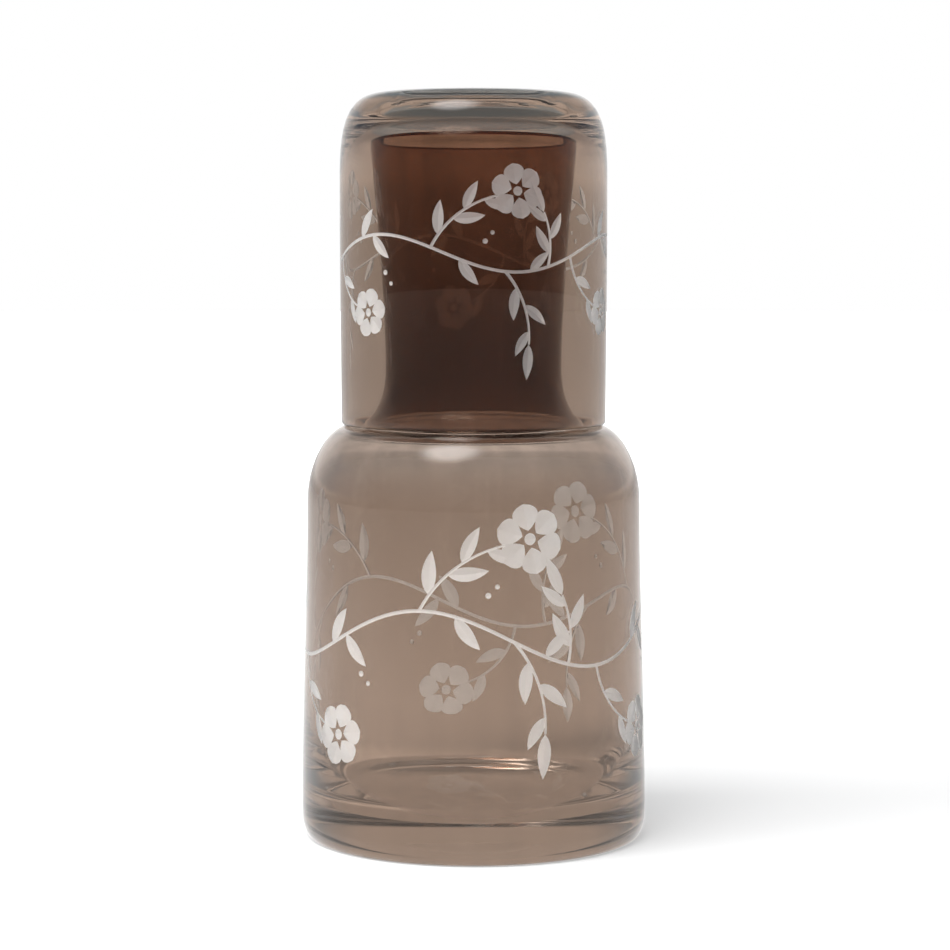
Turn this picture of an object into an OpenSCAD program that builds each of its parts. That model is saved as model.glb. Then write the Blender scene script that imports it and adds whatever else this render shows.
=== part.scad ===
// Bedside carafe with a tumbler that stands upside down over its neck.
// Both are thin-walled blown glass, round about the Z axis. The origin is the
// middle of the carafe's standing ring, and +Z is up. Millimetres.

/* [Carafe body] */
// Widest outside diameter, just above the heel
body_d = 96; // [90:0.5:104]
// Outside diameter where the side meets the shoulder
shoulder_d = 92.4; // [86:0.2:96]
// Height at which the side turns into the shoulder
shoulder_z = 93; // [84:0.5:98]
// Height of the shoulder's crest, where the tumbler's rim rests
crest_z = 115; // [110:0.5:122]
// Thickness of the side wall
body_wall = 1.8; // [1.4:0.1:2.4]
// Thickness of the wall across the crest
crest_wall = 2.2; // [1.6:0.1:3]
// Thickness of the glass floor at its edge
floor_t = 10.5; // [8:0.5:14]

/* [Carafe base] */
// Width of the rounded outer heel
heel_w = 2.6; // [1.4:0.2:4]
// Height of the rounded outer heel
heel_h = 6; // [4:0.5:8]
// Width of the flat ring that the carafe stands on
foot_w = 10; // [6:0.2:13]
// Height of the hollow under the floor
punt_h = 1.6; // [0.8:0.2:3]
// Width of the thick glass between the inside's straight wall and its flat floor
bowl_w = 8; // [6:0.2:11]
// Height at which the inside starts to draw in to the floor
bowl_z = 40; // [34:1:50]
// Lean of the inside wall from upright where it meets the floor, in degrees
bowl_lean = 36; // [20:1:45]
// Radius of the inside corner between wall and floor
bowl_corner_r = 0.8; // [0.4:0.2:3]

/* [Carafe neck] */
// Outside diameter at the neck's waist
neck_d = 48.8; // [46:0.2:51]
// Outside diameter at the neck's rim
neck_rim_d = 57.4; // [54:0.2:60]
// Height of the neck above the crest
neck_h = 80; // [72:0.5:84]
// Height of the waist above the crest
waist_h = 14.5; // [10:0.5:18]
// Thickness of the neck's wall, which is rounded over at the rim
neck_wall = 2; // [1.6:0.1:2.6]

/* [Tumbler] */
// Free space between the neck's rim and the tumbler round it
neck_gap = 6.2; // [4:0.2:8]
// Free space between the neck's rim and the tumbler's base over it
headroom = 5.4; // [3:0.2:10]
// How far the tumbler's rim reaches past the shoulder's crest
rim_overhang = 4.4; // [2.5:0.1:6]
// How much the tumbler widens from its rim to its widest place, in radius
swell = 0.3; // [0:0.1:2]
// Thickness of the tumbler's wall, which is rounded over at the rim
tumbler_wall = 1.7; // [1.4:0.1:2.4]
// Thickness of the tumbler's base
tumbler_base_t = 5.6; // [4:0.2:8]
// Height of the rounded corner between wall and base
corner_h = 27; // [24:0.5:34]
// Width of the rounded corner between wall and base
corner_w = 17; // [14:0.5:22]
// Height of the rounded corner inside the tumbler
inner_corner_h = 23; // [18:0.5:28]
// Width of the rounded corner inside the tumbler
inner_corner_w = 16.6; // [12:0.2:20]

/* [Hidden] */
$fn = 128;

// Gap between the tumbler's rim and the shoulder that carries it
seat_gap = 0.2;
// Depth of the shallow dish ground in the tumbler's base, and the flat rim round it
dish_h = 0.8;
dish_rim_w = 0.3;
// How square the tumbler's corners are: 2 is an ellipse, more is squarer
corner_power = 3.5;
inner_corner_power = 3.4;
// How far up the neck its gentle taper turns into the flare of the rim
flare_start_share = 0.62;
// How much of the neck's widening is done where the flare starts
flare_widen_share = 0.5;
// Straight lines that stand for a large round, a long wall and a small round
round_steps = 10;
wall_steps = 6;
edge_steps = 4;

body_r = body_d / 2;
shoulder_r = shoulder_d / 2;
punt_r = body_r - heel_w - foot_w;
floor_r = body_r - body_wall - bowl_w;
neck_r = neck_d / 2;
neck_rim_r = neck_rim_d / 2;
rim_z = crest_z + neck_h;
waist_z = crest_z + waist_h;

tumbler_rim_r = neck_rim_r + neck_gap + tumbler_wall;
tumbler_r = tumbler_rim_r + swell;
tumbler_top = rim_z + headroom + tumbler_base_t;
crest_r = tumbler_rim_r - rim_overhang;

// The shoulder is a quarter ellipse about (crest_r, shoulder_z).
shoulder_w = shoulder_r - crest_r;
shoulder_h = crest_z - shoulder_z;
function shoulder_share(r) = sqrt(1 - pow((r - crest_r) / shoulder_w, 2));
function shoulder_at(r) = shoulder_z + shoulder_h * shoulder_share(r);
function shoulder_slope(r) =
    shoulder_h * (r - crest_r) / pow(shoulder_w, 2) / shoulder_share(r);

// The tumbler's rim is a half round that hangs seat_gap off the shoulder.
rim_round = tumbler_wall / 2;
rim_mid_r = tumbler_rim_r - rim_round;
tumbler_z = shoulder_at(rim_mid_r) - rim_round
    + (rim_round + seat_gap) * sqrt(1 + pow(shoulder_slope(rim_mid_r), 2));

// Points on an ellipse about (r, z), from angle a0 to a1. A power above 2 squares it.
function arc(r, z, rw, rh, a0, a1, steps, power = 2) = [
    for (i = [0:steps])
        let (a = a0 + (a1 - a0) * i / steps)
            [r + rw * sign(cos(a)) * pow(abs(cos(a)), 2 / power),
             z + rh * sign(sin(a)) * pow(abs(sin(a)), 2 / power)]
];

// Points on a cubic curve between p0 and p3, drawn towards p1 and p2.
function curve(p0, p1, p2, p3, steps) = [
    for (i = [0:steps])
        let (t = i / steps, s = 1 - t)
            s * s * s * p0 + 3 * s * s * t * p1 + 3 * s * t * t * p2 + t * t * t * p3
];

// Points of a shallow dish of radius r and depth h, from its middle out.
function hollow(r, z, h) = [
    for (i = [0:wall_steps])
        let (share = i / wall_steps)
            [r * share, z + h * (1 - share * share)]
];

function reversed(points) = [for (i = [len(points) - 1:-1:0]) points[i]];

// The carafe's outside radius between heel and shoulder, upright at both ends.
function side_r(z) =
    let (share = (z - heel_h) / (shoulder_z - heel_h))
    body_r + (shoulder_r - body_r) * share * share * (3 - 2 * share);

// The body's wall from the given height up to the shoulder, inset by its thickness.
function body_side(low, inset) = [
    for (i = [0:wall_steps])
        let (z = low + (shoulder_z - low) * i / wall_steps)
            [side_r(z) - inset, z]
];

// The inside of the base: flat floor, tight corner and leaning wall.
function bowl() =
    let (lean_r = floor_r + bowl_corner_r * cos(bowl_lean),
         lean_z = floor_t + bowl_corner_r * (1 - sin(bowl_lean)),
         top_r = side_r(bowl_z) - body_wall,
         third = (bowl_z - lean_z) / 3)
    concat([[0, floor_t]],
           arc(floor_r, floor_t + bowl_corner_r, bowl_corner_r, bowl_corner_r,
               -90, -bowl_lean, edge_steps),
           curve([lean_r, lean_z],
                 [lean_r + third * tan(bowl_lean), lean_z + third],
                 [top_r, bowl_z - third],
                 [top_r, bowl_z], wall_steps));

// The neck's wall from its waist up to its rim, inset by the given thickness.
function neck_side(inset) =
    let (low = waist_z, high = rim_z - neck_wall / 2,
         flare_z = low + (high - low) * flare_start_share,
         widen = neck_rim_r - neck_r)
    curve([neck_r - inset, low],
          [neck_r - inset, low + (flare_z - low) / 2],
          [neck_r - inset + widen * flare_widen_share, flare_z],
          [neck_rim_r - inset, high], wall_steps);

module carafe_section() {
    outside = concat(
        hollow(punt_r, 0, punt_h),
        arc(body_r - heel_w, heel_h, heel_w, heel_h, -90, 0, edge_steps),
        body_side(heel_h, 0),
        arc(crest_r, shoulder_z, shoulder_w, shoulder_h, 0, 90, round_steps),
        arc(crest_r, waist_z, crest_r - neck_r, waist_h, 270, 180, wall_steps),
        neck_side(0),
        arc(neck_rim_r - neck_wall / 2, rim_z - neck_wall / 2,
            neck_wall / 2, neck_wall / 2, 0, 180, edge_steps));
    inside = concat(
        bowl(),
        body_side(bowl_z, body_wall),
        arc(crest_r, shoulder_z, shoulder_w - body_wall, shoulder_h - crest_wall,
            0, 90, round_steps),
        arc(crest_r, waist_z, crest_r - neck_r + neck_wall, waist_h + crest_wall,
            270, 180, wall_steps),
        neck_side(neck_wall));
    polygon(concat(outside, reversed(inside)));
}

module tumbler_section() {
    rounded_z = tumbler_z + rim_round;
    corner_z = tumbler_top - corner_h;
    floor_z = tumbler_top - tumbler_base_t;
    inner_corner_z = floor_z - inner_corner_h;
    inner_r = tumbler_r - tumbler_wall;
    outside = concat(
        arc(rim_mid_r, rounded_z, rim_round, rim_round, -180, 0, edge_steps),
        curve([tumbler_rim_r, rounded_z],
              [tumbler_rim_r + swell / 2, (2 * rounded_z + corner_z) / 3],
              [tumbler_r, (rounded_z + 2 * corner_z) / 3],
              [tumbler_r, corner_z], edge_steps),
        arc(tumbler_r - corner_w, corner_z, corner_w, corner_h,
            0, 90, round_steps, corner_power),
        reversed(hollow(tumbler_r - corner_w - dish_rim_w, tumbler_top, -dish_h)));
    inside = concat(
        [[0, floor_z]],
        reversed(arc(inner_r - inner_corner_w, inner_corner_z, inner_corner_w,
                     inner_corner_h, 0, 90, round_steps, inner_corner_power)),
        curve([inner_r, inner_corner_z],
              [inner_r, (rounded_z + 2 * inner_corner_z) / 3],
              [inner_r - swell / 2, (2 * rounded_z + inner_corner_z) / 3],
              [tumbler_rim_r - tumbler_wall, rounded_z], edge_steps));
    polygon(concat(outside, inside));
}

module carafe() {
    color([0.55, 0.47, 0.42, 0.6])
        rotate_extrude()
            carafe_section();
}

module tumbler() {
    color([0.55, 0.47, 0.42, 0.6])
        rotate_extrude()
            tumbler_section();
}

carafe();
tumbler();
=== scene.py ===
# %% [markdown]
# # A bedside carafe and its tumbler, in smoked glass
# The real set is two thin blown glasses. The carafe holds water for the night, and the
# tumbler stands upside down over its neck as a lid. A garland of leaves and flowers is
# ground into the outside of both, matt against the clear polish.
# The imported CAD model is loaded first. It fixes the place and the size of each piece.
# Light crosses many faces inside thick glass, and goes black if it is stopped too soon,
# so rays may bounce more often here than they do by default.

# %% The fixed frame
import math

import bpy
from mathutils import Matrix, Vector
from mathutils.geometry import delaunay_2d_cdt


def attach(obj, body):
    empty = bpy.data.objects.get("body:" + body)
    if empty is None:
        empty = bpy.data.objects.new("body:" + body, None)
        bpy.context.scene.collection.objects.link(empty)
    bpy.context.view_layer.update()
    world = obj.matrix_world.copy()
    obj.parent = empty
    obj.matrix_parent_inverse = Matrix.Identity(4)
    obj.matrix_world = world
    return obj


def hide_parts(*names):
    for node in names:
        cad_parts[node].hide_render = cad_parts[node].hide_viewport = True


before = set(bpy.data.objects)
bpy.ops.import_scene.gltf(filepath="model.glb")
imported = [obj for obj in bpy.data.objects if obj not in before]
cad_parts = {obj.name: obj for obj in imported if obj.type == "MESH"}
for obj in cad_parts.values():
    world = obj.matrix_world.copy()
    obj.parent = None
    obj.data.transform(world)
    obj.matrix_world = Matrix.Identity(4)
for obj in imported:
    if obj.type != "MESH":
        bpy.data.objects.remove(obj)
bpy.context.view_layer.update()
scene = bpy.context.scene
scene.view_settings.view_transform = "Standard"
ALL_BOUNCES, GLOSSY_BOUNCES = 28, 20
scene.cycles.max_bounces = scene.cycles.transmission_bounces = ALL_BOUNCES
scene.cycles.glossy_bounces = GLOSSY_BOUNCES
MM = 0.001

# %% [markdown]
# ## Camera
# The photograph was taken with a long lens, a little above the middle of the set and
# tilted down. The lens, the distance and the tilt were worked out from the curves of the
# foot, the tumbler's rim and the neck's rim, which open out more the further below the
# lens they lie.

# %% Camera
EYE_SIDE, DISTANCE, EYE_HEIGHT = 0.4 * MM, 790 * MM, 165 * MM
TILT_DEG, LENS, SENSOR = 4.68, 108.0, 36.0

lens = bpy.data.cameras.new("front_camera")
lens.lens = LENS
lens.sensor_width = SENSOR
lens.clip_end = 50.0
camera = bpy.data.objects.new("front_camera", lens)
scene.collection.objects.link(camera)
camera.location = (EYE_SIDE, -DISTANCE, EYE_HEIGHT)
camera.rotation_euler = (math.radians(90 - TILT_DEG), 0, 0)
scene.camera = camera
print("camera at", tuple(round(c, 4) for c in camera.location))

# %% [markdown]
# ## Shader helpers
# Every shader below is a few named nodes and the links between them. They could be made
# one by one, but three small helpers keep that short: one adds a node, one adds a node
# that turns one range of values into another, and one makes the links. A name on each
# node says what it is there for.

# %% Shader helpers
WHITE = (1.0, 1.0, 1.0, 1.0)


def add(tree, kind, name, **values):
    """A named shader node with its plain values set."""
    node = tree.nodes.new(kind)
    node.name = node.label = name
    for key, value in values.items():
        setattr(node, key, value)
    return node


def ranged(tree, name, low, high, start=0.0, end=1.0, kind="SMOOTHSTEP"):
    """Turns a value that runs from low to high into one that runs from start to end."""
    node = add(tree, "ShaderNodeMapRange", name, interpolation_type=kind)
    for socket, value in (("From Min", low), ("From Max", high),
                          ("To Min", start), ("To Max", end)):
        node.inputs[socket].default_value = value
    return node


def wire(tree, *links):
    """Links, each given as a node, its output, the next node and its input."""
    for source, output, target, socket in links:
        tree.links.new(source.outputs[output], target.inputs[socket])


print("helpers for nodes:", add.__name__, ranged.__name__, wire.__name__)

# %% [markdown]
# ## Studio
# Clear glass has hardly any look of its own: it shows what stands round it. So the room
# is a white sweep behind the set, cooler and darker towards the sides, and dim on the
# side of the camera. Above it comes a grey ceiling with one soft lamp. The sweep makes
# the body glow, the sides draw its darker edges, and the lamp lays a highlight on the
# shoulder and on the tumbler. At the horizon the sweep reaches all round the back half,
# because the tumbler's edges look far to the side there.
# The world works with the direction of a ray. Its Y says how far to the back it goes,
# from -1 on the camera's side to 1 straight behind the set, and its Z says how high.

# %% Colours of the room
SWEEP_TOP, CEILING_START = 0.30, 0.50
CEILING_COLOR, ROOM_COLOR = (0.5, 0.5, 0.5, 1.0), (0.20, 0.22, 0.24, 1.0)
SIDE_COLOR, WALL_COLOR = (0.72, 0.77, 0.82, 1.0), (0.29, 0.41, 0.54, 1.0)
LOW_STOPS = ((-0.25, ROOM_COLOR), (0.45, WHITE))
HIGH_STOPS = ((-0.25, ROOM_COLOR), (0.05, WALL_COLOR), (0.48, WALL_COLOR), (0.70, SIDE_COLOR),
              (0.86, WHITE))
LOW_TOP, HIGH_START = 0.04, 0.09
HORIZON_LIGHT, SWEEP_LIGHT, LIGHT_RISE = 0.76, 1.10, 0.05

world = bpy.data.worlds.new("studio")
scene.world = world
world.use_nodes = True
sky = world.node_tree
sky.nodes.clear()
sky_way = add(sky, "ShaderNodeTexCoord", "direction")
sky_parts = add(sky, "ShaderNodeSeparateXYZ", "height of the direction")
sky_back = ranged(sky, "from the camera to the back", -1.0, 1.0, kind="LINEAR")
wire(sky, (sky_way, "Generated", sky_parts, 0), (sky_parts, "Y", sky_back, "Value"))


def ramp(name, stops):
    """Colours round the room, from the camera's side at -1 to straight behind the set at 1."""
    node = add(sky, "ShaderNodeValToRGB", name)
    while len(node.color_ramp.elements) < len(stops):
        node.color_ramp.elements.new(0.5)
    for stop, (way, color) in zip(node.color_ramp.elements, stops):
        stop.position = (way + 1.0) / 2.0
        stop.color = color
    wire(sky, (sky_back, "Result", node, "Fac"))
    return node


sky_low = ramp("round the room, at the horizon", LOW_STOPS)
sky_high = ramp("round the room, above it", HIGH_STOPS)
sky_level = ranged(sky, "horizon or above", LOW_TOP, HIGH_START)
sky_round = add(sky, "ShaderNodeMix", "round the room", data_type="RGBA")
sky_rise = ranged(sky, "lighter upwards", 0.0, LIGHT_RISE, HORIZON_LIGHT, SWEEP_LIGHT)
sky_lit = add(sky, "ShaderNodeVectorMath", "room as it is lit", operation="SCALE")
sky_share = ranged(sky, "sweep to ceiling", SWEEP_TOP, CEILING_START)
sky_mix = add(sky, "ShaderNodeMix", "sweep or ceiling", data_type="RGBA")
sky_mix.inputs["B"].default_value = CEILING_COLOR
wire(sky,
     (sky_parts, "Z", sky_level, "Value"), (sky_level, "Result", sky_round, "Factor"),
     (sky_low, "Color", sky_round, "A"), (sky_high, "Color", sky_round, "B"),
     (sky_parts, "Z", sky_rise, "Value"), (sky_rise, "Result", sky_lit, "Scale"),
     (sky_round, "Result", sky_lit, 0), (sky_lit, "Vector", sky_mix, "A"),
     (sky_parts, "Z", sky_share, "Value"), (sky_share, "Result", sky_mix, "Factor"))
print("colours round the room:", len(LOW_STOPS), "at the horizon,", len(HIGH_STOPS), "above it")

# %% [markdown]
# The photographer's overhead lamp shows as soft pale patches on the shoulder and on the
# tumbler. An area lamp could stand for it, but polished glass would show its square
# edges. So the lamp is a bright lobe in the world, a product of the ray and the lamp's
# direction, which fades out evenly. The photograph is cut out on plain white, and camera
# rays that meet nothing see that white.

# %% Lamp in the ceiling, and plain white for the camera
LAMP_WAY, LAMP_COLOR = (-0.21, -0.33, 0.92), (15.0, 15.0, 15.0, 1.0)
LAMP_CORE, LAMP_EDGE, LAMP_PEAK = math.radians(4), math.radians(24), 3.0

sky_facing = add(sky, "ShaderNodeVectorMath", "towards the lamp", operation="DOT_PRODUCT")
sky_facing.inputs[1].default_value = LAMP_WAY
sky_lobe = ranged(sky, "soft edge of the lamp", math.cos(LAMP_EDGE), math.cos(LAMP_CORE))
sky_peak = add(sky, "ShaderNodeMath", "bright middle of the lamp", operation="POWER")
sky_peak.inputs[1].default_value = LAMP_PEAK
sky_lamp = add(sky, "ShaderNodeMix", "lamp in the ceiling", data_type="RGBA")
sky_lamp.inputs["B"].default_value = LAMP_COLOR
sky_path = add(sky, "ShaderNodeLightPath", "kind of ray")
sky_seen = add(sky, "ShaderNodeMix", "white where it is seen", data_type="RGBA")
sky_seen.inputs["B"].default_value = WHITE
sky_light = add(sky, "ShaderNodeBackground", "light")
sky_out = add(sky, "ShaderNodeOutputWorld", "out")
wire(sky,
     (sky_way, "Generated", sky_facing, 0), (sky_facing, "Value", sky_lobe, "Value"),
     (sky_lobe, "Result", sky_peak, 0), (sky_peak, 0, sky_lamp, "Factor"),
     (sky_mix, "Result", sky_lamp, "A"), (sky_lamp, "Result", sky_seen, "A"),
     (sky_path, "Is Camera Ray", sky_seen, "Factor"), (sky_seen, "Result", sky_light, "Color"),
     (sky_light, "Background", sky_out, "Surface"))
print("world nodes", len(sky.nodes))

# %% [markdown]
# ## Floor
# The floor is a pale disc that also glows a little, so that it stays as light as the
# sweep where it meets the horizon. The glow that lights the glass fades away from the
# set and towards the camera, and is stronger right under the glass, where the real table
# is lit through it. Camera rays see a glow of their own: low near the set, so that the
# soft shadow shows, and white far away.

# %% Floor
FLOOR_RADIUS, FLOOR_SIDES, FLOOR_DROP = 6.0, 64, 0.1 * MM
FLOOR_COLOR, FLOOR_ROUGHNESS = (0.45, 0.45, 0.45, 1.0), 0.9
FLOOR_GLOW, FAR_GLOW, NEAR, FAR = 0.47, 0.22, 0.25, 2.5
SEEN_GLOW, SEEN_FAR_GLOW, SEEN_NEAR, SEEN_FAR = 0.42, 1.0, 0.20, 1.2
FRONT_DIM, FRONT_NEAR, FRONT_FAR = 0.10, -0.20, -0.70
UNDER_GLOW, UNDER_NEAR, UNDER_FAR = 1.95, 0.048, 0.075

ring = [(FLOOR_RADIUS * math.cos(a), FLOOR_RADIUS * math.sin(a), 0.0)
        for a in (math.tau * k / FLOOR_SIDES for k in range(FLOOR_SIDES))]
floor_mesh = bpy.data.meshes.new("floor")
floor_mesh.from_pydata(ring, [], [list(range(FLOOR_SIDES))])
floor = bpy.data.objects.new("floor", floor_mesh)
floor.location.z = -FLOOR_DROP
scene.collection.objects.link(floor)

floor_paint = bpy.data.materials.new("pale_floor")
floor_paint.use_nodes = True
tree = floor_paint.node_tree
paint = tree.nodes["Principled BSDF"]
for socket, value in (("Base Color", FLOOR_COLOR), ("Roughness", FLOOR_ROUGHNESS),
                      ("Specular IOR Level", 0.0), ("Emission Color", WHITE)):
    paint.inputs[socket].default_value = value
path = add(tree, "ShaderNodeLightPath", "kind of ray")
spot = add(tree, "ShaderNodeTexCoord", "place on the floor")
reach = add(tree, "ShaderNodeVectorMath", "distance from the middle", operation="LENGTH")
fade = ranged(tree, "fades away from the set", NEAR, FAR, FLOOR_GLOW, FAR_GLOW, kind="LINEAR")
sides = add(tree, "ShaderNodeSeparateXYZ", "front or back")
dim = ranged(tree, "dim towards the front", FRONT_FAR, FRONT_NEAR, FRONT_DIM, 1.0)
both = add(tree, "ShaderNodeMath", "fade and dim", operation="MULTIPLY")
under = ranged(tree, "lit through the glass", UNDER_NEAR, UNDER_FAR, UNDER_GLOW, 1.0)
full = add(tree, "ShaderNodeMath", "and under the glass", operation="MULTIPLY")
seen = ranged(tree, "white where it is seen", SEEN_NEAR, SEEN_FAR, SEEN_GLOW, SEEN_FAR_GLOW)
glow = add(tree, "ShaderNodeMix", "seen or lighting", data_type="FLOAT")
wire(tree,
     (spot, "Object", reach, 0), (reach, "Value", fade, "Value"),
     (spot, "Object", sides, 0), (sides, "Y", dim, "Value"),
     (fade, "Result", both, 0), (dim, "Result", both, 1),
     (reach, "Value", under, "Value"), (both, 0, full, 0), (under, "Result", full, 1),
     (full, 0, glow, "A"), (reach, "Value", seen, "Value"), (seen, "Result", glow, "B"),
     (path, "Is Camera Ray", glow, "Factor"), (glow, "Result", paint, "Emission Strength"))
floor_mesh.materials.append(floor_paint)
print("floor", FLOOR_RADIUS * 2, "m across")

# %% [markdown]
# ## Softbox
# One plain area lamp from the front left lays the soft shadow to the right of the foot
# and lights the matt cuts. Glass would show it as a hard white square, so the glass
# doesn't see it.

# %% Softbox
SOFTBOX_AT, SOFTBOX_AIM = Vector((-0.60, -0.24, 0.60)), Vector((0, 0, 0.1))
SOFTBOX_SIZE, SOFTBOX_WATTS = (0.5, 0.4), 7.0

softbox_light = bpy.data.lights.new("softbox", "AREA")
softbox_light.shape = "RECTANGLE"
softbox_light.size, softbox_light.size_y = SOFTBOX_SIZE
softbox_light.energy = SOFTBOX_WATTS
softbox = bpy.data.objects.new("softbox", softbox_light)
softbox.location = SOFTBOX_AT
softbox.rotation_euler = (SOFTBOX_AIM - SOFTBOX_AT).to_track_quat("-Z", "Y").to_euler()
scene.collection.objects.link(softbox)
softbox.visible_glossy = False
softbox.visible_transmission = False
print("softbox", SOFTBOX_WATTS, "W")

# %% [markdown]
# ## The glass
# Two bands of the outside carry painted light: the shoulder is painted lighter, a painted sheen
# for the overhead lamp's pale veil, and a thin band at the top of the tumbler is painted
# blue-grey, a painted reflection of the dark room.
# The smoky colour is in the melt. Light crosses two walls of each glass, so the colour
# of one wall is the square root of what the eye sees. Only the outer face carries the
# colour here, and the inner face is clear: that way each wall counts once. Principled
# glass takes the root of its base colour at each face, so the wall's colour goes in
# squared. The neck was drawn out thick, and it is darker than the body.
# Two node groups carry this. One changes a colour from a height upwards. The other
# scales the colour with faint clouds and upright streaks, as they are left in a melt,
# and puts out the clouds as a height for the ripple of blown glass.

# %% Colour that changes with height
def new_group(name, sockets_in, sockets_out):
    """A shader node group with its sockets, its input node and its output node."""
    group = bpy.data.node_groups.new(name, "ShaderNodeTree")
    for label, kind, value in sockets_in:
        group.interface.new_socket(label, in_out="INPUT", socket_type=kind).default_value = value
    for label, kind in sockets_out:
        group.interface.new_socket(label, in_out="OUTPUT", socket_type=kind)
    return group, group.nodes.new("NodeGroupInput"), group.nodes.new("NodeGroupOutput")


step, step_in, step_out = new_group(
    "tint_step",
    [("Below", "NodeSocketColor", WHITE), ("Above", "NodeSocketColor", WHITE),
     ("Start", "NodeSocketFloat", 0.0), ("End", "NodeSocketFloat", 1.0)],
    [("Color", "NodeSocketColor")])
step_place = add(step, "ShaderNodeTexCoord", "place")
step_parts = add(step, "ShaderNodeSeparateXYZ", "height")
step_share = ranged(step, "share of the step", 0.0, 1.0)
step_mix = add(step, "ShaderNodeMix", "tint by height", data_type="RGBA")
wire(step,
     (step_place, "Object", step_parts, 0), (step_parts, "Z", step_share, "Value"),
     (step_in, "Start", step_share, "From Min"), (step_in, "End", step_share, "From Max"),
     (step_share, "Result", step_mix, "Factor"), (step_in, "Below", step_mix, "A"),
     (step_in, "Above", step_mix, "B"), (step_mix, "Result", step_out, "Color"))
print("group", step.name, "with", len(step.nodes), "nodes")

# %% Clouds and streaks in the melt
CLOUD_SQUASH, STREAK_SQUASH = (1.0, 1.0, 0.35), (1.0, 1.0, 0.04)
STREAK_SCALE, MELT_DETAIL = 130.0, 2.0


def swing(tree, name, noise, amount_node, amount_socket):
    """Noise moved to lie about nothing, times an amount, on top of 1 or of what is linked in."""
    about = add(tree, "ShaderNodeMath", name + " about nothing", operation="SUBTRACT")
    about.inputs[1].default_value = 0.5
    times = add(tree, "ShaderNodeMath", name + " times its strength", operation="MULTIPLY_ADD")
    times.inputs[2].default_value = 1.0
    wire(tree, (noise, "Fac", about, 0), (about, 0, times, 0),
         (amount_node, amount_socket, times, 1))
    return times


smoke, smoke_in, smoke_out = new_group(
    "smoke_in_the_melt",
    [("Tint", "NodeSocketColor", WHITE), ("Cloud", "NodeSocketFloat", 0.04),
     ("Cloud Scale", "NodeSocketFloat", 22.0), ("Streaks", "NodeSocketFloat", 0.0)],
    [("Color", "NodeSocketColor"), ("Ripple", "NodeSocketFloat")])
melt_place = add(smoke, "ShaderNodeTexCoord", "place")
squash = add(smoke, "ShaderNodeMapping", "drawn out upwards")
squash.inputs["Scale"].default_value = CLOUD_SQUASH
cloud = add(smoke, "ShaderNodeTexNoise", "cloud")
cloud.inputs["Detail"].default_value = MELT_DETAIL
pull = add(smoke, "ShaderNodeMapping", "pulled far upwards")
pull.inputs["Scale"].default_value = STREAK_SQUASH
streak = add(smoke, "ShaderNodeTexNoise", "streaks")
streak.inputs["Scale"].default_value = STREAK_SCALE
streak.inputs["Detail"].default_value = MELT_DETAIL
cloudy = swing(smoke, "cloud", cloud, smoke_in, "Cloud")
streaky = swing(smoke, "streaks", streak, smoke_in, "Streaks")
dense = add(smoke, "ShaderNodeVectorMath", "denser and thinner", operation="SCALE")
wire(smoke,
     (melt_place, "Object", squash, "Vector"), (squash, "Vector", cloud, "Vector"),
     (smoke_in, "Cloud Scale", cloud, "Scale"),
     (melt_place, "Object", pull, "Vector"), (pull, "Vector", streak, "Vector"),
     (cloudy, 0, streaky, 2), (smoke_in, "Tint", dense, 0), (streaky, 0, dense, "Scale"),
     (dense, "Vector", smoke_out, "Color"), (cloud, "Fac", smoke_out, "Ripple"))
print("group", smoke.name, "with", len(smoke.nodes), "nodes")

# %% Clear glass, outside and inside
GLASS_IOR, FRONT_GLOSS = 1.5, (0.4, 0.4, 0.4, 1.0)
RIPPLE_STRENGTH, RIPPLE_DEPTH = 0.03, 0.2 * MM
STREAKS_FROM, STREAKS_TO = 100 * MM, 118 * MM


def squared(tint):
    """The base colour that gives a wall this tint."""
    return (tint[0] ** 2, tint[1] ** 2, tint[2] ** 2, 1.0)


def place_step(tree, name, below, above, start, end):
    """A node that changes below to above between two heights in metres."""
    node = add(tree, "ShaderNodeGroup", name, node_tree=step)
    for socket, value in (("Below", below), ("Above", above), ("Start", start), ("End", end)):
        node.inputs[socket].default_value = value
    return node


def glass_face(name, tint, steps=(), cloud_strength=0.0, streaks=None):
    """Polished glass: its tint, faint clouds in it and the ripple left by blowing."""
    material = bpy.data.materials.new(name)
    material.use_nodes = True
    tree = material.node_tree
    shader = tree.nodes["Principled BSDF"]
    for socket, value in (("Roughness", 0.0), ("IOR", GLASS_IOR), ("Specular Tint", FRONT_GLOSS),
                          ("Transmission Weight", 1.0)):
        shader.inputs[socket].default_value = value
    melt = add(tree, "ShaderNodeGroup", "melt", node_tree=smoke)
    melt.inputs["Tint"].default_value = squared(tint)
    melt.inputs["Cloud"].default_value = cloud_strength
    if streaks:
        few, many = ((share, share, share, 1.0) for share in streaks)
        pulled = place_step(tree, "streaks in the neck", few, many, STREAKS_FROM, STREAKS_TO)
        wire(tree, (pulled, "Color", melt, "Streaks"))
    below = None
    # Each step changes the tint above a height. The shoulder's step is a painted sheen, and the
    # tumbler's top step is a painted dark reflection.
    for low, high, above in steps:
        turn = place_step(tree, "tint above %g mm" % low, squared(tint), squared(above),
                          low * MM, high * MM)
        if below:
            wire(tree, (below, "Color", turn, "Below"))
        below = turn
    if below:
        wire(tree, (below, "Color", melt, "Tint"))
    bump = add(tree, "ShaderNodeBump", "ripple")
    bump.inputs["Strength"].default_value = RIPPLE_STRENGTH
    bump.inputs["Distance"].default_value = RIPPLE_DEPTH
    wire(tree, (melt, "Color", shader, "Base Color"), (melt, "Ripple", bump, "Height"),
         (bump, "Normal", shader, "Normal"))
    return material


print("glass bends light by", GLASS_IOR)

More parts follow.
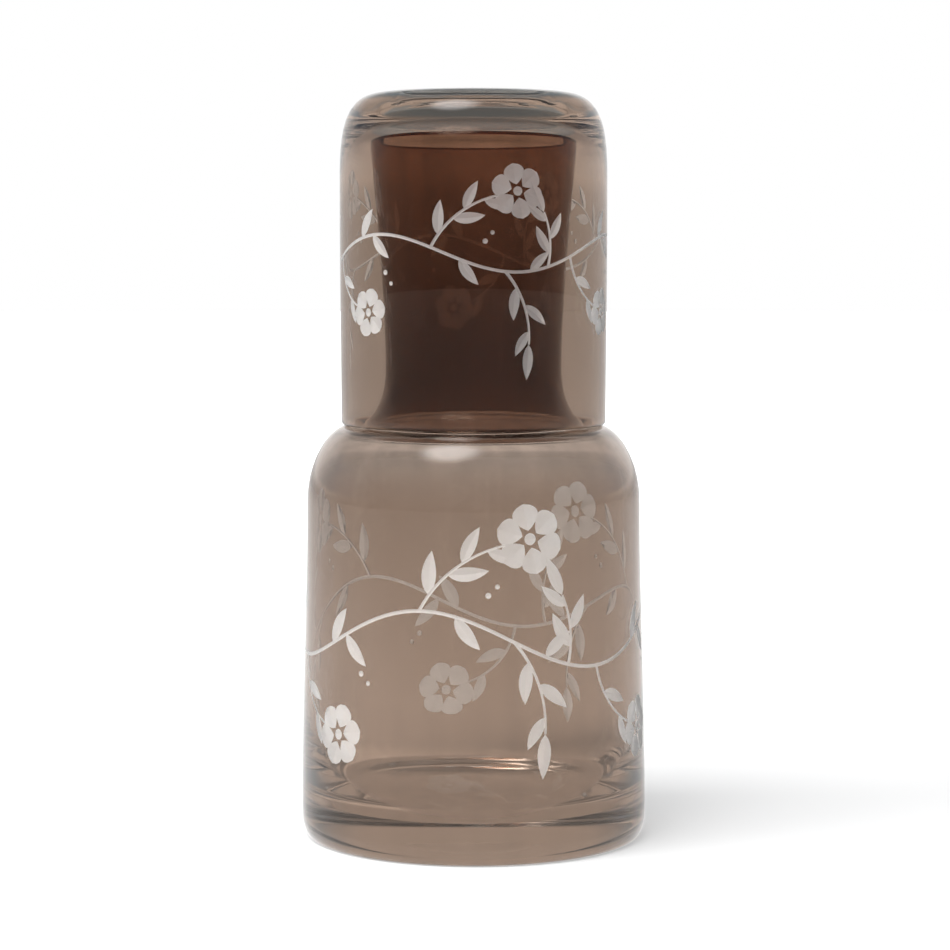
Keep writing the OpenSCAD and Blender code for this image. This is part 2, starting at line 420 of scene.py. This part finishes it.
# %% Tints of the two glasses
BODY_TINT, SHOULDER_TINT_AND_PAINTED_SHEEN = (0.505, 0.422, 0.363), (0.60, 0.53, 0.48)
NECK_TINT, NECK_TOP_TINT = (0.31, 0.20, 0.15), (0.50, 0.34, 0.26)
TUMBLER_TINT, TOP_PAINTED_DARK_REFLECTION = (0.57, 0.48, 0.415), (0.30, 0.34, 0.36)
CLEAR, CLOUDS, NECK_STREAKS = (1.0, 1.0, 1.0), 0.05, (0.3, 1.1)
# The shoulder's step is the glass's tint made lighter by a painted sheen, which stands in for the
# pale veil the overhead lamp lays on the shoulder.
CARAFE_STEPS = ((94, 108, SHOULDER_TINT_AND_PAINTED_SHEEN), (114.3, 115.4, NECK_TINT), (128, 190, NECK_TOP_TINT))
# The tumbler's top step is a painted dark reflection: a blue-grey band where the dark room shows
# in the polished top corner.
TUMBLER_STEPS = ((203.0, 204.2, TOP_PAINTED_DARK_REFLECTION),)

carafe_outside = glass_face("carafe_outside", BODY_TINT, CARAFE_STEPS, CLOUDS, NECK_STREAKS)
tumbler_outside = glass_face("tumbler_outside", TUMBLER_TINT, TUMBLER_STEPS, CLOUDS)
inside_face = glass_face("inside_face", CLEAR)
print("body tint squared", [round(c, 3) for c in squared(BODY_TINT)])

# %% [markdown]
# ## The ground cuts
# A stone wheel leaves a matt, pale surface that scatters light instead of letting it
# straight through. Rough transmission gives the soft glow from behind, and a share of
# plain diffuse gives the chalky white from the front. A fine grain breaks it up, as the
# wheel's scratches do.

# %% Grain of the wheel
GRAIN_DETAIL = 3.0

grain, grain_in, grain_out = new_group(
    "wheel_grain",
    [("Color", "NodeSocketColor", WHITE), ("Amount", "NodeSocketFloat", 0.12),
     ("Scale", "NodeSocketFloat", 900.0)],
    [("Color", "NodeSocketColor"), ("Height", "NodeSocketFloat")])
grain_place = add(grain, "ShaderNodeTexCoord", "place")
speck = add(grain, "ShaderNodeTexNoise", "specks")
speck.inputs["Detail"].default_value = GRAIN_DETAIL
specked = swing(grain, "specks", speck, grain_in, "Amount")
speck_color = add(grain, "ShaderNodeVectorMath", "lighter and darker", operation="SCALE")
wire(grain,
     (grain_place, "Object", speck, "Vector"), (grain_in, "Scale", speck, "Scale"),
     (grain_in, "Color", speck_color, 0), (specked, 0, speck_color, "Scale"),
     (speck_color, "Vector", grain_out, "Color"), (speck, "Fac", grain_out, "Height"))
print("group", grain.name, "with", len(grain.nodes), "nodes")

# %% Matt surface of the cuts
CUT_COLOR, CUT_THROUGH, CUT_ROUGHNESS = (0.86, 0.84, 0.82, 1.0), 0.76, 0.50
GRAIN_STRENGTH, GRAIN_HEIGHT = 0.25, 0.1 * MM

matt_cut = bpy.data.materials.new("matt_cut")
matt_cut.use_nodes = True
tree = matt_cut.node_tree
shader = tree.nodes["Principled BSDF"]
for socket, value in (("Roughness", CUT_ROUGHNESS), ("IOR", GLASS_IOR),
                      ("Transmission Weight", CUT_THROUGH)):
    shader.inputs[socket].default_value = value
wheel = add(tree, "ShaderNodeGroup", "wheel marks", node_tree=grain)
wheel.inputs["Color"].default_value = CUT_COLOR
rough = add(tree, "ShaderNodeBump", "grain")
rough.inputs["Strength"].default_value = GRAIN_STRENGTH
rough.inputs["Distance"].default_value = GRAIN_HEIGHT
wire(tree, (wheel, "Color", shader, "Base Color"), (wheel, "Height", rough, "Height"),
     (rough, "Normal", shader, "Normal"))
print("matt cut lets", CUT_THROUGH, "of the light through")

# %% [markdown]
# ## Outlines of the two glasses
# Both glasses are round, so one outline spun about the axis makes each of them. The
# outlines are drawn with the same sizes as the CAD model, but with many more points,
# because a bend in glass shows every flat. An arc of an ellipse makes the heel, shoulder
# and corners, and a cubic curve makes the walls.

# %% Drawing an outline
def arc(r, z, rw, rh, a0, a1, power=2.0, steps=40):
    """Points on an ellipse about (r, z). A power above 2 makes it squarer."""
    out = []
    for i in range(steps + 1):
        a = math.radians(a0 + (a1 - a0) * i / steps)
        c, s = math.cos(a), math.sin(a)
        out.append((r + rw * math.copysign(abs(c) ** (2 / power), c),
                    z + rh * math.copysign(abs(s) ** (2 / power), s)))
    return out


def curve(p0, p1, p2, p3, steps=40):
    """Points on a cubic curve from p0 to p3, drawn towards p1 and p2."""
    out = []
    for i in range(steps + 1):
        t = i / steps
        s = 1 - t
        out.append(tuple(s ** 3 * a + 3 * s * s * t * b + 3 * s * t * t * c + t ** 3 * d
                         for a, b, c, d in zip(p0, p1, p2, p3)))
    return out


def hollow(r, z, h, steps=30):
    """A shallow dish of radius r and depth h, from its middle out."""
    return [(r * i / steps, z + h * (1 - (i / steps) ** 2)) for i in range(steps + 1)]


print("a heel of", len(arc(45, 6, 3, 6, -90, 0)), "points")

# %% Carafe sizes in millimetres
BODY_R, SHOULDER_R, SHOULDER_Z, CREST_Z = 48.0, 46.2, 93.0, 115.0
BODY_WALL, CREST_WALL = 1.8, 2.2
HEEL_W, HEEL_H, FOOT_W, PUNT_H = 2.6, 6.0, 10.0, 1.6
FLOOR_T, BOWL_W, BOWL_Z, BOWL_LEAN, BOWL_CORNER = 10.5, 8.0, 40.0, math.radians(36), 0.8
FLOOR_RINGS = (0.0, 12.0, 24.0, 33.0)
NECK_R, NECK_RIM_R, RIM_Z, WAIST_Z, NECK_WALL = 24.4, 28.7, 195.0, 129.5, 2.0
FLARE_START, FLARE_WIDEN = 0.62, 0.5
NECK_GAP, RIM_OVERHANG, SEAT_GAP = 6.2, 4.4, 0.2
TUMBLER_WALL = 1.7
TUMBLER_RIM_R = NECK_RIM_R + NECK_GAP + TUMBLER_WALL
CREST_R = TUMBLER_RIM_R - RIM_OVERHANG


def side_r(z):
    """The body's radius between heel and shoulder, upright at both ends."""
    share = (z - HEEL_H) / (SHOULDER_Z - HEEL_H)
    return BODY_R + (SHOULDER_R - BODY_R) * share * share * (3 - 2 * share)


def body_side(low, inset, steps=60):
    """The body's wall from a height up to the shoulder."""
    heights = [low + (SHOULDER_Z - low) * i / steps for i in range(steps + 1)]
    return [(side_r(z) - inset, z) for z in heights]


def neck_side(inset):
    """The neck's wall from its waist to its rim: a gentle taper, then the flare."""
    low, high = WAIST_Z, RIM_Z - NECK_WALL / 2
    flare = low + (high - low) * FLARE_START
    widen = NECK_RIM_R - NECK_R
    return curve((NECK_R - inset, low), (NECK_R - inset, low + (flare - low) / 2),
                 (NECK_R - inset + widen * FLARE_WIDEN, flare), (NECK_RIM_R - inset, high))


print("crest radius", CREST_R, "tumbler rim radius", TUMBLER_RIM_R)

# %% Carafe outlines
shoulder_w, shoulder_h = SHOULDER_R - CREST_R, CREST_Z - SHOULDER_Z
carafe_outer = (
    hollow(BODY_R - HEEL_W - FOOT_W, 0, PUNT_H)
    + arc(BODY_R - HEEL_W, HEEL_H, HEEL_W, HEEL_H, -90, 0, steps=20)
    + body_side(HEEL_H, 0)
    + arc(CREST_R, SHOULDER_Z, shoulder_w, shoulder_h, 0, 90)
    + arc(CREST_R, WAIST_Z, CREST_R - NECK_R, WAIST_Z - CREST_Z, 270, 180, steps=24)
    + neck_side(0)
    + arc(NECK_RIM_R - NECK_WALL / 2, RIM_Z - NECK_WALL / 2, NECK_WALL / 2, NECK_WALL / 2,
          0, 180, steps=16))
lean_r = BODY_R - BODY_WALL - BOWL_W + BOWL_CORNER * math.cos(BOWL_LEAN)
lean_z = FLOOR_T + BOWL_CORNER * (1 - math.sin(BOWL_LEAN))
top_r, third = side_r(BOWL_Z) - BODY_WALL, (BOWL_Z - lean_z) / 3
carafe_inner = (
    [(r, FLOOR_T) for r in FLOOR_RINGS]
    + arc(BODY_R - BODY_WALL - BOWL_W, FLOOR_T + BOWL_CORNER, BOWL_CORNER, BOWL_CORNER,
          -90, -math.degrees(BOWL_LEAN), steps=14)
    + curve((lean_r, lean_z), (lean_r + third * math.tan(BOWL_LEAN), lean_z + third),
            (top_r, BOWL_Z - third), (top_r, BOWL_Z))
    + body_side(BOWL_Z, BODY_WALL, 24)
    + arc(CREST_R, SHOULDER_Z, shoulder_w - BODY_WALL, shoulder_h - CREST_WALL, 0, 90)
    + arc(CREST_R, WAIST_Z, CREST_R - NECK_R + NECK_WALL, WAIST_Z - CREST_Z + CREST_WALL,
          270, 180, steps=24)
    + neck_side(NECK_WALL))
print("carafe outline", len(carafe_outer), "points outside,", len(carafe_inner), "inside")

# %% Tumbler outlines
HEADROOM, TUMBLER_BASE_T, SWELL = 5.4, 5.6, 0.3
CORNER_H, CORNER_W, CORNER_POWER = 27.0, 17.0, 3.5
INNER_CORNER_H, INNER_CORNER_W, INNER_CORNER_POWER = 23.0, 16.6, 3.4
DISH_H, DISH_RIM_W = 0.8, 0.3
tumbler_r = TUMBLER_RIM_R + SWELL
tumbler_top = RIM_Z + HEADROOM + TUMBLER_BASE_T
rim_round = TUMBLER_WALL / 2
rim_mid_r = TUMBLER_RIM_R - rim_round
rim_reach = (rim_mid_r - CREST_R) / shoulder_w
rim_drop = math.sqrt(1 - rim_reach ** 2)
rim_slope = shoulder_h * rim_reach / shoulder_w / rim_drop
tumbler_z = (SHOULDER_Z + shoulder_h * rim_drop - rim_round
             + (rim_round + SEAT_GAP) * math.hypot(1, rim_slope))
round_z = tumbler_z + rim_round
corner_z = tumbler_top - CORNER_H
inner_corner_z = tumbler_top - TUMBLER_BASE_T - INNER_CORNER_H
inner_r = tumbler_r - TUMBLER_WALL
tumbler_outer = (
    arc(rim_mid_r, round_z, rim_round, rim_round, -180, 0, steps=16)
    + curve((TUMBLER_RIM_R, round_z), (TUMBLER_RIM_R + SWELL / 2, (2 * round_z + corner_z) / 3),
            (tumbler_r, (round_z + 2 * corner_z) / 3), (tumbler_r, corner_z))
    + arc(tumbler_r - CORNER_W, corner_z, CORNER_W, CORNER_H, 0, 90, CORNER_POWER, 90)
    + hollow(tumbler_r - CORNER_W - DISH_RIM_W, tumbler_top, -DISH_H)[::-1])
tumbler_inner = (
    curve((TUMBLER_RIM_R - TUMBLER_WALL, round_z),
          (inner_r - SWELL / 2, (2 * round_z + inner_corner_z) / 3),
          (inner_r, (round_z + 2 * inner_corner_z) / 3), (inner_r, inner_corner_z))
    + arc(inner_r - INNER_CORNER_W, inner_corner_z, INNER_CORNER_W, INNER_CORNER_H,
          0, 90, INNER_CORNER_POWER, 60)
    + [(0.0, tumbler_top - TUMBLER_BASE_T)])
print("tumbler from", round(tumbler_z, 2), "to", round(tumbler_top, 2), "mm")

# %% [markdown]
# ## The garland
# The cuts are drawn flat, on the outside of the glass unrolled: across is the way round,
# up is the way up. Each leaf and petal is an outline with a ridge line down its middle
# where the wheel went deepest. A stem is a narrow band of the same kind. A rule gives
# the depth anywhere inside a cut, so overlapping cuts run into each other as they do on
# the wheel.

# %% Cuts of the wheel
LEAF_DEPTH, STEM_DEPTH, BEAD_DEPTH = 0.30, 0.16, 0.25
END_RISE, TINY = 1.6, 1e-6


class Cut:
    """One ground shape: centre line, half widths along it and the depth on the line."""

    def __init__(self, line, widths, depth):
        self.line, self.widths, self.depth = line, widths, depth
        left, right = [], []
        for i, (x, y) in enumerate(line):
            ax, ay = line[max(i - 1, 0)]
            bx, by = line[min(i + 1, len(line) - 1)]
            length = math.hypot(bx - ax, by - ay)
            nx, ny = -(by - ay) / length, (bx - ax) / length
            left.append((x + nx * widths[i], y + ny * widths[i]))
            right.append((x - nx * widths[i], y - ny * widths[i]))
        first = [] if widths[0] > 0 else [line[0]]
        last = [] if widths[-1] > 0 else [line[-1]]
        keep = range(0 if widths[0] > 0 else 1, len(line) - (0 if widths[-1] > 0 else 1))
        self.outline = first + [right[i] for i in keep] + last + [left[i] for i in reversed(keep)]
        self.ridge = [line[i] for i in keep]
        xs, ys = zip(*self.outline)
        self.box = (min(xs), max(xs), min(ys), max(ys))

    def depth_at(self, x, y):
        """Depth under a place: full on the centre line, nothing at the edge, less at thin ends."""
        x0, x1, y0, y1 = self.box
        if not (x0 - TINY <= x <= x1 + TINY and y0 - TINY <= y <= y1 + TINY):
            return 0.0
        best = None
        for i in range(len(self.line) - 1):
            (ax, ay), (bx, by) = self.line[i], self.line[i + 1]
            dx, dy = bx - ax, by - ay
            t = min(max(((x - ax) * dx + (y - ay) * dy) / (dx * dx + dy * dy), 0.0), 1.0)
            gap = math.hypot(x - ax - t * dx, y - ay - t * dy)
            if best is None or gap < best[0]:
                best = (gap, self.widths[i] + t * (self.widths[i + 1] - self.widths[i]))
        gap, width = best
        if width <= TINY:
            return 0.0
        inwards, along_line = max(0.0, 1 - gap / width), width / max(self.widths) * END_RISE
        return self.depth * inwards * min(1.0, along_line)


def along(start, angle, length, bend, steps):
    """Points on a stroke that turns evenly by bend degrees over its length."""
    x, y = start
    out = [(x, y)]
    for i in range(steps):
        heading = math.radians(angle + bend * (i + 0.5) / steps)
        x += math.cos(heading) * length / steps
        y += math.sin(heading) * length / steps
        out.append((x, y))
    return out


def blade(start, angle, length, width, bend, steps, lean, blunt):
    """A pointed oval. A lean over 1 puts its widest place further out. A low blunt rounds it."""
    shares = [i / steps for i in range(steps + 1)]
    widths = [0.0 if s in (0.0, 1.0) else width / 2 * math.sin(math.pi * s ** lean) ** blunt
              for s in shares]
    return Cut(along(start, angle, length, bend, steps), widths, LEAF_DEPTH)


def leaf(start, angle, length, width, bend=0.0):
    """A slim leaf that may curl."""
    return blade(start, angle, length, width, bend, steps=9, lean=0.85, blunt=0.85)


def petal(start, angle, length, width):
    """A straight petal with a round end."""
    return blade(start, angle, length, width, bend=0, steps=12, lean=1.35, blunt=0.6)


def stem(line, wide, narrow):
    """A narrow band along a line, which may thin out towards its end."""
    last = len(line) - 1
    widths = [(wide + (narrow - wide) * i / last) / 2 for i in range(last + 1)]
    return Cut(line, widths, STEM_DEPTH)


def bead(x, y, radius):
    """A round dot."""
    steps = 8
    turns = [math.pi * i / steps for i in range(steps + 1)]
    line = [(x - radius * math.cos(a), y) for a in turns]
    return Cut(line, [0.0] + [radius * math.sin(a) for a in turns[1:-1]] + [0.0], BEAD_DEPTH)


print("a leaf has", len(leaf((0, 0), 0, 12, 4).outline), "outline points")

# %% [markdown]
# An engraver builds a design from a few strokes that they know by heart. The same is done
# here: a blossom is six petals round a bead, and a spray is a bent stem with leaves on
# both sides by turns. Its end carries a blossom or one more leaf. Helpers that put the
# single cuts together are shorter than a drawing of every leaf, and they let one table
# lay out the whole garland.

# %% Blossoms and sprays
SPRAY_STEPS, SPRAY_WIDTHS = 12, (0.9, 0.6)
LEAF_TURN, LEAF_CURL, LEAF_SLIM, LEAF_SHRINK, TIP_SLIM = 42, 0.35, 0.34, 0.22, 0.32
PETALS, HEART, PETAL_START, PETAL_LENGTH = 6, 0.17, 0.24, 0.76
PETAL_SPREAD, PETAL_FILL, BLOSSOM_REACH = 5.0, 0.92, 0.75


def blossom(x, y, radius, turn):
    """A ring of round petals about a bead."""
    cuts = [bead(x, y, radius * HEART)]
    for k in range(PETALS):
        angle = turn + 360 * k / PETALS
        a = math.radians(angle)
        base = (x + math.cos(a) * radius * PETAL_START, y + math.sin(a) * radius * PETAL_START)
        width = radius * PETAL_SPREAD / PETALS * PETAL_FILL
        cuts.append(petal(base, angle, radius * PETAL_LENGTH, width))
    return cuts


def spray(start, angle, length, bend, leaves, leaf_length, end_blossom, side=1):
    """A branch: a bent stem, leaves on both sides by turns and a blossom or a leaf at its end."""
    line = along(start, angle, length, bend, SPRAY_STEPS)
    cuts = [stem(line, *SPRAY_WIDTHS)]
    for k in range(leaves):
        share = (k + 1.0) / (leaves + 0.6)
        i = min(int(share * SPRAY_STEPS), SPRAY_STEPS - 1)
        heading = angle + bend * share
        turn = (LEAF_TURN if k % 2 == 0 else -LEAF_TURN) * side
        size = leaf_length * (1.0 - LEAF_SHRINK * share)
        cuts.append(leaf(line[i], heading + turn, size, size * LEAF_SLIM, -turn * LEAF_CURL))
    x, y = line[-1]
    heading = angle + bend
    if end_blossom > 0:
        a = math.radians(heading)
        cuts += blossom(x + math.cos(a) * end_blossom * BLOSSOM_REACH,
                        y + math.sin(a) * end_blossom * BLOSSOM_REACH, end_blossom, heading + 30)
    else:
        cuts.append(leaf((x, y), heading, leaf_length, leaf_length * TIP_SLIM))
    return cuts


print("a blossom has", len(blossom(0, 0, 9.5, 0)), "cuts")

# %% [markdown]
# The garland is made from small tables. A main stem runs round the glass in three even
# waves, and each wave carries the same sprays, single leaves and beads, each at its
# share of the wave. Three waves are enough that no side of the glass is bare.

# %% Garlands of both glasses
CARAFE_ROUND_R, TUMBLER_ROUND_R = 47.0, 37.0
WAVES, WAVE_STEPS, STEM_WIDTH, SIDE_CURL = 3, 36, 0.95, 0.3
# Share of the wave, way, length, bend, leaves, leaf length, blossom radius, first side
SPRAYS = ((0.10, 62, 30, -50, 4, 12.5, 9.5, 1), (0.36, -48, 27, -46, 3, 12.0, 0, -1),
          (0.52, 75, 19, 40, 3, 11.5, 0, 1), (0.62, -80, 24, 62, 2, 11.0, 8.6, 1))
# Share of the wave, way, length
LEAVES = ((0.20, -62, 11.0), (0.45, 48, 10.0), (0.80, 70, 11.5), (0.86, -55, 11.0))
# Share of the wave, height over the stem, radius
BEADS = ((0.29, 9.0, 0.8), (0.315, 12.5, 0.65), (0.92, -13.0, 0.8), (0.945, -16.5, 0.65))


def wave(around, middle, height, shift, wide):
    """The main stem: even waves all the way round, and a little past the seam at both ends."""
    steps = WAVE_STEPS * WAVES
    line = [(around * i / steps, middle + height * math.sin(math.tau * WAVES * i / steps + shift))
            for i in range(-1, steps + 2)]
    return stem(line, wide, wide)


def garland(around, middle, height, shift, scale):
    """All the cuts of one glass. The scale makes them smaller on the tumbler."""
    cuts = [wave(around, middle, height, shift, STEM_WIDTH * scale ** 0.5)]
    pitch = around / WAVES

    def at(k, share):
        x = (k + share) * pitch
        return x, middle + height * math.sin(math.tau * (k + share) + shift)

    for k in range(WAVES):
        for share, angle, length, bend, leaves, leaf_length, flower, side in SPRAYS:
            cuts += spray(at(k, share), angle, length * scale, bend, leaves, leaf_length * scale,
                          flower * scale, side)
        for share, angle, length in LEAVES:
            cuts.append(leaf(at(k, share), angle, length * scale, length * scale * LEAF_SLIM,
                             -angle * SIDE_CURL))
        for share, rise, radius in BEADS:
            x, y = at(k, share)
            cuts.append(bead(x, y + rise * scale, radius * scale ** 0.5))
    return cuts


carafe_cuts = garland(math.tau * CARAFE_ROUND_R, middle=60.0, height=8.0, shift=0.9, scale=1.0)
tumbler_cuts = garland(math.tau * TUMBLER_ROUND_R, middle=162.0, height=5.0, shift=2.2, scale=0.78)
print("cuts:", len(carafe_cuts), "on the carafe,", len(tumbler_cuts), "on the tumbler")

# %% [markdown]
# ## Spinning the outlines
# The plain parts are strips of quads between rings. In the zone that carries the garland
# the strip is replaced by triangles that follow the cuts' outlines and ridges exactly.
# A constrained triangulation of the unrolled zone gives them. Every corner gets the true
# normal of the round glass, so the polish stays smooth however the triangles lie, and
# the cuts keep their own flat facets.
# Glass refracts at every face, so one crack shows as a dark line. The unrolled zone has
# two ends that meet at a seam, and its points are put back on their exact columns and
# rows there, so that the mesh closes.

# %% Shell of glass
COLUMNS = 144
SAME_POINT, POINT_DIGITS = 1e-5, 5
OUTSIDE, INSIDE, CUT = 0, 1, 2
SHARP = math.cos(math.radians(28))


def with_normals(points):
    """Drops doubled points and gives each the normals of the outline before and after it."""
    line = [points[0]]
    for p in points[1:]:
        if math.hypot(p[0] - line[-1][0], p[1] - line[-1][1]) > SAME_POINT:
            line.append(p)
    ways = []
    for a, b in zip(line, line[1:]):
        size = math.hypot(b[0] - a[0], b[1] - a[1])
        ways.append(((b[0] - a[0]) / size, (b[1] - a[1]) / size, size))
    out = []
    for i, p in enumerate(line):
        before = ways[max(i - 1, 0)]
        after = ways[min(i, len(ways) - 1)]
        if before[0] * after[0] + before[1] * after[1] > SHARP:
            x = before[0] / before[2] + after[0] / after[2]
            y = before[1] / before[2] + after[1] / after[2]
            size = math.hypot(x, y)
            way = (x / size, y / size)
            out.append((p, (way[1], -way[0]), (way[1], -way[0])))
        else:
            out.append((p, (before[1], -before[0]), (after[1], -after[0])))
    return out


class Shell:
    """Vertices, faces, materials and corner normals of one glass."""

    def __init__(self):
        self.index, self.vertices, self.faces, self.kinds, self.normals = {}, [], [], [], []

    def vertex(self, x, y, z):
        """The number of the point at a place in millimetres, which is made only once."""
        key = (round(x, POINT_DIGITS), round(y, POINT_DIGITS), round(z, POINT_DIGITS))
        if key not in self.index:
            self.index[key] = len(self.vertices)
            self.vertices.append((x * MM, y * MM, z * MM))
        return self.index[key]

    def face(self, corners, kind, normals):
        """Keeps a face whose corners are three or more different points."""
        kept = [i for i, c in enumerate(corners) if c not in corners[:i]]
        if len(kept) < 3:
            return
        self.faces.append([corners[i] for i in kept])
        self.kinds.append(kind)
        self.normals.append([normals[i] for i in kept] if normals else None)

    def spin(self, line, kind, turned=False):
        """Quads between the rings of an outline that has the glass on its left."""
        for (p, _, low), (q, high, _) in zip(line, line[1:]):
            for k in range(COLUMNS):
                corners, normals = [], []
                for (r, z), (nr, nz), step in ((p, low, 0), (p, low, 1),
                                               (q, high, 1), (q, high, 0)):
                    a = math.tau * ((k + step) % COLUMNS) / COLUMNS
                    corners.append(self.vertex(r * math.cos(a), r * math.sin(a), z))
                    sign = -1 if turned else 1
                    normals.append((sign * nr * math.cos(a), sign * nr * math.sin(a), sign * nz))
                if turned:
                    corners.reverse()
                    normals.reverse()
                self.face(corners, kind, normals)


print("columns", COLUMNS)

# %% Zone with the garland
ON_GRID, SEAM_DIGITS = 1e-4, 2


def engrave(shell, line, cuts, round_r):
    """Triangles of the unrolled zone, pressed in where a cut lies. Returns how many are cut."""
    around = math.tau * round_r
    heights = [p[1] for p, _, _ in line]
    if heights != sorted(heights):
        raise ValueError("the zone's outline has to rise all the way")

    def wall_at(v):
        """Radius and normal of the outline at height v."""
        reached = next((k for k, h in enumerate(heights) if h >= v), len(heights) - 1)
        i = min(max(reached, 1), len(heights) - 1)
        (p, _, low), (q, high, _) = line[i - 1], line[i]
        t = (v - p[1]) / (q[1] - p[1])
        nr, nz = low[0] + t * (high[0] - low[0]), low[1] + t * (high[1] - low[1])
        size = math.hypot(nr, nz)
        return p[0] + t * (q[0] - p[0]), nr / size, nz / size

    points, edges, outlines = [], [], []
    for h in heights:
        for k in range(COLUMNS + 1):
            points.append(Vector((around * k / COLUMNS, h)))
    width = COLUMNS + 1
    rows = len(heights)
    for j in range(rows - 1):
        edges += [(j * width, (j + 1) * width), (j * width + COLUMNS, (j + 1) * width + COLUMNS)]
    for k in range(COLUMNS):
        edges += [(k, k + 1), ((rows - 1) * width + k, (rows - 1) * width + k + 1)]
    for cut in cuts:
        first = len(points)
        points += [Vector(p) for p in cut.outline]
        outlines.append(list(range(first, len(points))))
        first = len(points)
        points += [Vector(p) for p in cut.ridge]
        edges += [(i, i + 1) for i in range(first, len(points) - 1)]
    flat, _, triangles, _, _, sources = delaunay_2d_cdt(
        points, edges, outlines, 0, SAME_POINT, True)

    made, normals = [], []
    for u, v in flat:
        column, row = u / around * COLUMNS, min(heights, key=lambda h: abs(h - v))
        if abs(v - row) < ON_GRID:
            v = row
        if abs(column - round(column)) < ON_GRID:
            column = round(column) % COLUMNS
            v = v if v == row else round(v, SEAM_DIGITS)
        depth = max([c.depth_at(column * around / COLUMNS, v) for c in cuts] + [0.0])
        r, nr, nz = wall_at(v)
        a, cut_r = math.tau * column / COLUMNS, r - nr * depth
        made.append(shell.vertex(cut_r * math.cos(a), cut_r * math.sin(a), v - nz * depth))
        normals.append((nr * math.cos(a), nr * math.sin(a), nz))

    cut_faces = 0
    for triangle, source in zip(triangles, sources):
        if not 0 < sum(flat[i][0] for i in triangle) / 3 < around:
            continue
        corners = [made[i] for i in triangle]
        if source:
            shell.face(corners, CUT, None)
            cut_faces += 1
        else:
            shell.face(corners, OUTSIDE, [normals[i] for i in triangle])
    return cut_faces


print("points within", ON_GRID, "of the grid are put on it")

# %% [markdown]
# Only the upright wall carries cuts, so the outline of the outside is split in three: the
# part below the garland, the zone with the garland and the part above it. The first and
# the last are spun as plain rings. Rows that lie closer than 2.6 mm are left out of the
# zone, because the wall is nearly straight there and thin strips make sliver triangles.
# The mesh of a glass is then made in one go, with the facets of the cuts left flat.

# %% Splitting an outline
ROW_STEP, WALL_FROM_R = 2.6, 30


def zone(line, low, high):
    """Splits an outline into the part below, the zone and the part above."""
    rising = [i for i, (p, _, _) in enumerate(line)
              if low <= p[1] <= high and p[0] > WALL_FROM_R]
    first, last = rising[0], rising[-1]
    rows, kept = [first], line[first][0]
    for i in rising[1:-1]:
        p = line[i][0]
        if math.hypot(p[0] - kept[0], p[1] - kept[1]) >= ROW_STEP:
            rows.append(i)
            kept = p
    rows.append(last)
    return line[:first + 1], [line[i] for i in rows], line[last:]


print("rows at least", ROW_STEP, "mm apart")

# %% Mesh, materials and body of a glass
def finish_glass(shell, name, body, outside_material):
    """The shell as one mesh that rides on its body and stands for the body's CAD solid."""
    mesh = bpy.data.meshes.new(name)
    mesh.from_pydata(shell.vertices, [], shell.faces)
    for material in (outside_material, inside_face, matt_cut):
        mesh.materials.append(material)
    mesh.polygons.foreach_set("material_index", shell.kinds)
    mesh.polygons.foreach_set("use_smooth", [True] * len(shell.faces))
    corner_normals = []
    for polygon, normals in zip(mesh.polygons, shell.normals):
        corner_normals += normals if normals else [tuple(polygon.normal)] * polygon.loop_total
    mesh.normals_split_custom_set(corner_normals)
    piece = bpy.data.objects.new(name, mesh)
    scene.collection.objects.link(piece)
    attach(piece, body)
    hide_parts(body)


def make_glass(name, body, outer, inner, zone_heights, cuts, round_r, outside_material):
    """One glass: plain rings, the engraved zone between them, and the inside."""
    below, middle, above = zone(with_normals(outer), *zone_heights)
    shell = Shell()
    shell.spin(below, OUTSIDE)
    cut_faces = engrave(shell, middle, cuts, round_r)
    shell.spin(above, OUTSIDE)
    shell.spin(with_normals(inner), INSIDE, turned=True)
    finish_glass(shell, name, body, outside_material)
    print(name, len(shell.faces), "faces,", cut_faces, "of them cut")


print("materials of a glass: outside", OUTSIDE, "inside", INSIDE, "cut", CUT)

# %% [markdown]
# ## The two pieces
# The real carafe is blown in one piece, from the thick floor to the neck's
# flared rim, and the tumbler is a second, lighter piece with a heavy base. A solid with a
# thickness added by a modifier could do for both, but the floor, the heel and the base
# are many times thicker than the wall, and that thickness makes most of the look. So each
# glass is one closed skin: an outside and an inside outline that meet at the rim. The
# tumbler rides on its own body and lifts off the neck.

# %% Carafe glass
CARAFE_ZONE = (14.0, 109.0)
make_glass("carafe_glass", "carafe", carafe_outer, carafe_inner, CARAFE_ZONE,
           carafe_cuts, CARAFE_ROUND_R, carafe_outside)

# %% Tumbler glass
TUMBLER_ZONE = (120.0, 203.0)
make_glass("tumbler_glass", "tumbler", tumbler_outer, tumbler_inner, TUMBLER_ZONE,
           tumbler_cuts, TUMBLER_ROUND_R, tumbler_outside)
